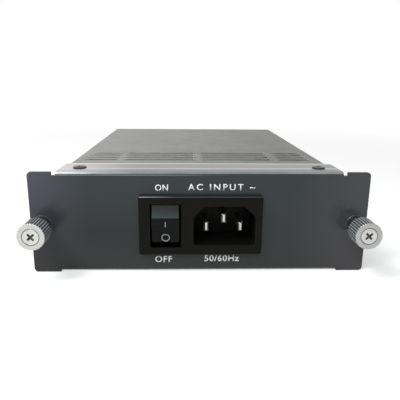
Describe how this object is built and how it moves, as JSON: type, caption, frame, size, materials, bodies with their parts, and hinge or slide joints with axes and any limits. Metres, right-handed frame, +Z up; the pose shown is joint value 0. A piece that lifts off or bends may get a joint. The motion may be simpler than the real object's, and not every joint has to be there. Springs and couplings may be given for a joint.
{
  "type": "redundant power supply",
  "caption": "Slide-in rack power supply module with a folded front panel, mains inlet, rocker switch, captive thumbscrews and a vented case.",
  "frame": {"origin": "middle of the footprint, at the underside of the front panel's lower flange", "axes": "+X right seen from the front, +Y to the back, +Z up; the front panel faces -Y"},
  "size_m": [0.136, 0.1914, 0.0429],
  "materials": {
    "panel_paint": "semi-gloss",
    "case_zinc": "satin",
    "black_steel": "satin",
    "black_plastic": "fine texture",
    "rocker_plastic": "smooth",
    "pin_metal": "bright",
    "knob_nickel": "satin nickel",
    "screw_steel": "plated",
    "board_green": "solder mask",
    "insulator": "thin sheet",
    "standoff_brass": "turned",
    "film_yellow": "moulded",
    "ferrite": "ground",
    "enamelled_wire": "enamel",
    "dark_plastic": "moulded",
    "disc_blue": "dipped",
    "fuse_glass": "clear",
    "sleeve": "shrink sleeve",
    "sink_aluminium": "extruded",
    "live_wire": "insulation",
    "neutral_wire": "insulation",
    "earth_wire": "insulation"
  },
  "bodies": {
    "chassis": {"base_tray": "case_zinc", "board_screws": "screw_steel", "board_standoffs": "standoff_brass", "bridge_rectifier": "dark_plastic", "bulk_capacitor": "sleeve", "circuit_board": "board_green", "control_chips": "dark_plastic", "earth_lead": "earth_wire", "earth_nut": "screw_steel", "earth_pin": "pin_metal", "earth_stud": "screw_steel", "earth_terminal": "screw_steel", "film_capacitor": "film_yellow", "filter_choke_base": "dark_plastic", "filter_choke_core": "ferrite", "filter_choke_windings": "enamelled_wire", "flange_screws": "black_steel", "front_panel": "panel_paint", "fuse_caps": "screw_steel", "fuse_clips": "screw_steel", "fuse_tube": "fuse_glass", "inlet_housing": "black_plastic", "insulation_sheet": "insulator", "left_thumb_ferrule": "knob_nickel", "live_lead": "live_wire", "live_pin": "pin_metal", "neutral_lead": "neutral_wire", "neutral_pin": "pin_metal", "output_capacitors": "sleeve", "output_choke_base": "dark_plastic", "output_choke_core": "ferrite", "output_choke_windings": "enamelled_wire", "power_transistor": "dark_plastic", "primary_heatsink": "sink_aluminium", "primary_sink_screw": "screw_steel", "rectifier_diode": "dark_plastic", "right_thumb_ferrule": "knob_nickel", "safety_discs": "disc_blue", "secondary_heatsink": "sink_aluminium", "secondary_sink_screw": "screw_steel", "side_screws": "black_steel", "switch_tabs": "pin_metal", "top_cover": "case_zinc", "transformer_core": "ferrite", "transformer_winding": "film_yellow", "underside_screws": "black_steel"},
    "rocker": {"switch_rocker": "rocker_plastic"},
    "left_spring_seat": {"left_thumb_washer": "screw_steel", "left_thumb_spring": "screw_steel"},
    "left_thumbscrew": {"left_thumb_knob": "knob_nickel", "left_thumb_screw": "screw_steel", "left_thumb_clip": "screw_steel"},
    "right_spring_seat": {"right_thumb_washer": "screw_steel", "right_thumb_spring": "screw_steel"},
    "right_thumbscrew": {"right_thumb_knob": "knob_nickel", "right_thumb_screw": "screw_steel", "right_thumb_clip": "screw_steel"}
  },
  "joints": [
    {"name": "rocker_tilt", "type": "hinge", "parent": "chassis", "child": "rocker", "pos_m": [-0.0139, -0.07855, 0.0202], "axis": [-1, 0, 0], "range_deg": [0, 24]},
    {"name": "left_thumb_press", "type": "slide", "parent": "chassis", "child": "left_spring_seat", "axis": [0, 1, 0], "range_m": [0, 0.005], "stiffness_N_per_m": 400, "springref_m": -0.004, "deforming": ["left_thumb_spring"]},
    {"name": "left_thumb_turn", "type": "hinge", "parent": "left_spring_seat", "child": "left_thumbscrew", "pos_m": [-0.0627, -0.08075, 0.02], "axis": [0, 1, 0], "continuous": true},
    {"name": "right_thumb_press", "type": "slide", "parent": "chassis", "child": "right_spring_seat", "axis": [0, 1, 0], "range_m": [0, 0.005], "stiffness_N_per_m": 400, "springref_m": -0.004, "deforming": ["right_thumb_spring"]},
    {"name": "right_thumb_turn", "type": "hinge", "parent": "right_spring_seat", "child": "right_thumbscrew", "pos_m": [0.0627, -0.08075, 0.02], "axis": [0, 1, 0], "continuous": true}
  ]
}
